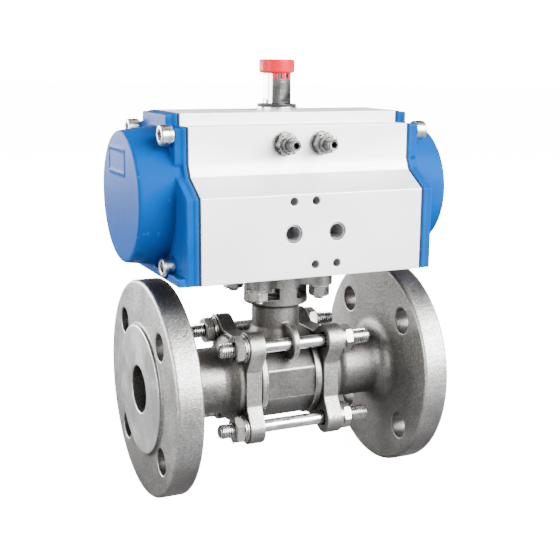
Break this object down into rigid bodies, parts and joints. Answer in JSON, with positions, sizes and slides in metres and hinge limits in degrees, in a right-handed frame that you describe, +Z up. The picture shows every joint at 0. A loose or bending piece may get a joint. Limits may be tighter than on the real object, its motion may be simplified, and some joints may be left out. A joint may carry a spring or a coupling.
{
  "type": "pneumatic actuated valve",
  "caption": "Flanged three-piece ball valve turned a quarter turn by a double-acting rack-and-pinion pneumatic actuator with stop screws and a position cap.",
  "frame": {"origin": "centre of the ball, where the pipe axis crosses the stem axis", "axes": "+X along the pipe to the right seen from the air port side, -Y towards the air port side, +Z up the stem to the actuator"},
  "size_m": [0.1718, 0.115, 0.227],
  "materials": {
    "valve_casting": "bead-blasted investment-cast stainless steel, warm grey, with machined gasket faces",
    "ptfe": "white filled PTFE",
    "graphite_seal": "dark flexible graphite",
    "polished_ball": "polished stainless steel",
    "stem_steel": "turned stainless steel",
    "bright_rod": "bright drawn stainless rod with rolled threads",
    "nut_steel": "stainless fasteners, light machining marks",
    "anodised_body": "extruded aluminium, pale satin anodising",
    "piston_aluminium": "die-cast aluminium with cut rack teeth",
    "blue_paint": "blue polyester powder coat on die-cast aluminium",
    "rubber": "black nitrile rubber",
    "cap_screw_steel": "stainless socket screws",
    "shaft_nickel": "bright nickel-plated steel",
    "acetal": "black acetal bearing plastic",
    "washer_steel": "ground stainless washer",
    "blackened_spring": "phosphated spring steel",
    "red_plastic": "moulded red plastic"
  },
  "bodies": {
    "housing": {"valve_body": "valve_casting", "flange_left": "valve_casting", "flange_right": "valve_casting", "end_piece_left": "valve_casting", "end_piece_right": "valve_casting", "seat_left": "ptfe", "seat_right": "ptfe", "body_seal_left": "graphite_seal", "body_seal_right": "graphite_seal", "stem_thrust_washer": "ptfe", "stem_packing": "ptfe", "gland_ring": "stem_steel", "tie_bolts": "bright_rod", "tie_nuts": "nut_steel", "tie_washers": "nut_steel", "mounting_studs": "bright_rod", "mounting_nuts": "nut_steel", "mounting_washers": "nut_steel", "actuator_body": "anodised_body", "end_cap_left": "blue_paint", "end_cap_right": "blue_paint", "cap_gasket_left": "rubber", "cap_gasket_right": "rubber", "cap_screws_left": "cap_screw_steel", "cap_screws_right": "cap_screw_steel", "pinion_bush_lower": "acetal", "pinion_bush_upper": "acetal", "thrust_ring": "acetal", "shaft_washer": "washer_steel", "stop_nuts": "nut_steel", "stop_washers": "nut_steel", "stop_seals": "rubber"},
    "drive": {"ball": "polished_ball", "stem": "stem_steel", "belleville_washers": "stem_steel", "stem_nut": "stem_steel", "pinion": "shaft_nickel", "pinion_seal_lower": "rubber", "pinion_seal_upper": "rubber", "stop_cam": "stem_steel", "snap_ring": "blackened_spring", "indicator_cap": "red_plastic", "indicator_screw": "cap_screw_steel"},
    "left_piston": {"piston_left": "piston_aluminium", "piston_seal_left": "rubber", "guide_ring_left": "ptfe", "rack_pad_left": "ptfe"},
    "right_piston": {"piston_right": "piston_aluminium", "piston_seal_right": "rubber", "guide_ring_right": "ptfe", "rack_pad_right": "ptfe"},
    "left_stop": {"stop_screw_left": "nut_steel"},
    "right_stop": {"stop_screw_right": "nut_steel"}
  },
  "joints": [
    {"name": "shaft_turn", "type": "hinge", "parent": "housing", "child": "drive", "pos_m": [0, 0, 0.1], "axis": [0, 0, -1], "range_deg": [0, 90]},
    {"name": "left_piston_stroke", "type": "slide", "parent": "housing", "child": "left_piston", "axis": [1, 0, 0], "range_m": [0, 0.0166]},
    {"name": "right_piston_stroke", "type": "slide", "parent": "housing", "child": "right_piston", "axis": [-1, 0, 0], "range_m": [0, 0.0166]},
    {"name": "open_stop_adjust", "type": "slide", "parent": "housing", "child": "left_stop", "axis": [0, -1, 0], "range_m": [0, 0.003]},
    {"name": "closed_stop_adjust", "type": "slide", "parent": "housing", "child": "right_stop", "axis": [0, -1, 0], "range_m": [0, 0.003]}
  ],
  "couplings": [
    {"joint": "left_piston_stroke", "follows": "shaft_turn", "m_per_rad": 0.0105},
    {"joint": "right_piston_stroke", "follows": "shaft_turn", "m_per_rad": 0.0105}
  ]
}
